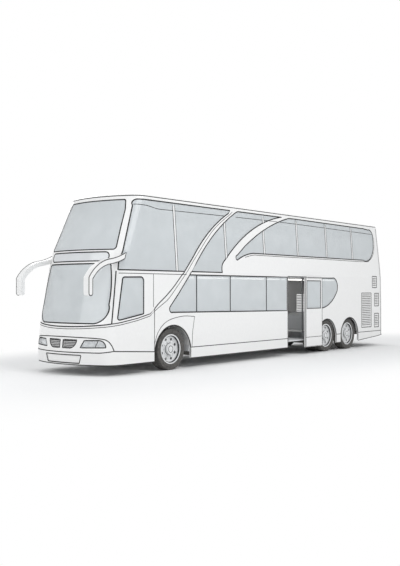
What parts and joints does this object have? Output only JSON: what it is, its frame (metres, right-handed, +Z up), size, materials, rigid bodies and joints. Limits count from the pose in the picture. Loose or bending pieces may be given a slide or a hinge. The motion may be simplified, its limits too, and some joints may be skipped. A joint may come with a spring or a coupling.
{
  "type": "double-deck touring coach",
  "caption": "Double-deck touring coach on driven, trailing and steered axles, with swing-out doors, glazed decks, seats and a rear engine.",
  "frame": {"origin": "on the ground, at the middle of the vehicle's width and length", "axes": "+Z up, -Y towards the nose, +X towards the vehicle's left side"},
  "size_m": [2.658, 13.6, 4.0699],
  "materials": {
    "body_white": "gloss white paint",
    "glazing": "pale tinted glass",
    "display": "blank display window",
    "lamp_clear": "clear lamp lens",
    "lamp_red": "red lens",
    "door_steel": "grey paint",
    "floor": "floor covering",
    "rack": "pale lining",
    "seat_cloth": "woven cloth",
    "dash": "grained",
    "engine": "as cast",
    "frame_steel": "black chassis paint",
    "axle_steel": "black chassis paint",
    "tyre": "black rubber",
    "wheel_paint": "silver paint"
  },
  "bodies": {
    "coach_body": {"side_wall_left": "body_white", "side_wall_right": "body_white", "skirt_left": "body_white", "skirt_right": "body_white", "roof_panel": "body_white", "front_mask": "body_white", "front_panel": "body_white", "front_bumper": "body_white", "rear_panel": "body_white", "side_glass_left": "glazing", "side_glass_right": "glazing", "windscreen_upper": "glazing", "windscreen_lower": "glazing", "destination_window": "display", "rear_window": "glazing", "headlamps": "lamp_clear", "tail_lamps": "lamp_red", "lower_floor": "floor", "stairs": "floor", "upper_floor": "floor", "luggage_racks": "rack", "upper_seats": "seat_cloth", "lower_seats": "seat_cloth", "dashboard": "dash", "engine_block": "engine", "underframe": "frame_steel", "front_axle": "axle_steel", "drive_axle": "axle_steel", "tag_axle": "axle_steel", "mirror_left": "body_white", "mirror_right": "body_white", "side_vents": "body_white", "lamp_housings": "dash", "grille": "dash", "floor_boxes": "floor", "cross_members": "frame_steel"},
    "knuckle_left": {"knuckle_left": "axle_steel"},
    "knuckle_right": {"knuckle_right": "axle_steel"},
    "front_wheel_left": {"front_tyre_left": "tyre", "front_rim_left": "wheel_paint"},
    "front_wheel_right": {"front_tyre_right": "tyre", "front_rim_right": "wheel_paint"},
    "drive_wheels_left": {"drive_tyres_left": "tyre", "drive_rims_left": "wheel_paint"},
    "drive_wheels_right": {"drive_tyres_right": "tyre", "drive_rims_right": "wheel_paint"},
    "tag_wheel_left": {"tag_tyre_left": "tyre", "tag_rim_left": "wheel_paint"},
    "tag_wheel_right": {"tag_tyre_right": "tyre", "tag_rim_right": "wheel_paint"},
    "middle_door_arm": {"middle_door_arm": "door_steel"},
    "middle_door_leaf": {"middle_door": "body_white", "middle_door_glass": "glazing"},
    "front_door_arm": {"front_door_arm": "door_steel"},
    "front_door_leaf": {"front_door": "body_white", "front_door_glass": "glazing"},
    "engine_lid": {"engine_lid": "body_white"}
  },
  "joints": [
    {"name": "steer_left", "type": "hinge", "parent": "coach_body", "child": "knuckle_left", "pos_m": [0.95, -4.2, 0.49], "axis": [0, 0, 1], "range_deg": [-35, 35]},
    {"name": "front_wheel_spin_left", "type": "hinge", "parent": "knuckle_left", "child": "front_wheel_left", "pos_m": [1.09, -4.2, 0.49], "axis": [1, 0, 0], "continuous": true},
    {"name": "drive_wheel_spin_left", "type": "hinge", "parent": "coach_body", "child": "drive_wheels_left", "pos_m": [0.93, 3.03, 0.49], "axis": [1, 0, 0], "continuous": true},
    {"name": "tag_wheel_spin_left", "type": "hinge", "parent": "coach_body", "child": "tag_wheel_left", "pos_m": [1.09, 4.38, 0.49], "axis": [1, 0, 0], "continuous": true},
    {"name": "steer_right", "type": "hinge", "parent": "coach_body", "child": "knuckle_right", "pos_m": [-0.95, -4.2, 0.49], "axis": [0, 0, 1], "range_deg": [-35, 35]},
    {"name": "front_wheel_spin_right", "type": "hinge", "parent": "knuckle_right", "child": "front_wheel_right", "pos_m": [-1.09, -4.2, 0.49], "axis": [1, 0, 0], "continuous": true},
    {"name": "drive_wheel_spin_right", "type": "hinge", "parent": "coach_body", "child": "drive_wheels_right", "pos_m": [-0.93, 3.03, 0.49], "axis": [1, 0, 0], "continuous": true},
    {"name": "tag_wheel_spin_right", "type": "hinge", "parent": "coach_body", "child": "tag_wheel_right", "pos_m": [-1.09, 4.38, 0.49], "axis": [1, 0, 0], "continuous": true},
    {"name": "middle_door_swing", "type": "hinge", "parent": "coach_body", "child": "middle_door_arm", "pos_m": [1.195, 1.7, 1.3], "axis": [0, 0, 1], "range_deg": [-163.31, 0]},
    {"name": "middle_door_level", "type": "hinge", "parent": "middle_door_arm", "child": "middle_door_leaf", "pos_m": [1.305, 2.06693, 1.3], "axis": [0, 0, 1], "range_deg": [0, 163.31]},
    {"name": "front_door_swing", "type": "hinge", "parent": "coach_body", "child": "front_door_arm", "pos_m": [-1.15, -5.79, 1.3], "axis": [0, 0, 1], "range_deg": [0, 161.62]},
    {"name": "front_door_level", "type": "hinge", "parent": "front_door_arm", "child": "front_door_leaf", "pos_m": [-1.15, -5.4411, 1.3], "axis": [0, 0, 1], "range_deg": [-161.62, 0]},
    {"name": "engine_lid_hinge", "type": "hinge", "parent": "coach_body", "child": "engine_lid", "pos_m": [0, 6.788, 1.782], "axis": [1, 0, 0], "range_deg": [0, 80]}
  ],
  "couplings": [
    {"joint": "steer_right", "follows": "steer_left", "ratio": 1},
    {"joint": "middle_door_level", "follows": "middle_door_swing", "ratio": -1},
    {"joint": "front_door_level", "follows": "front_door_swing", "ratio": -1}
  ]
}
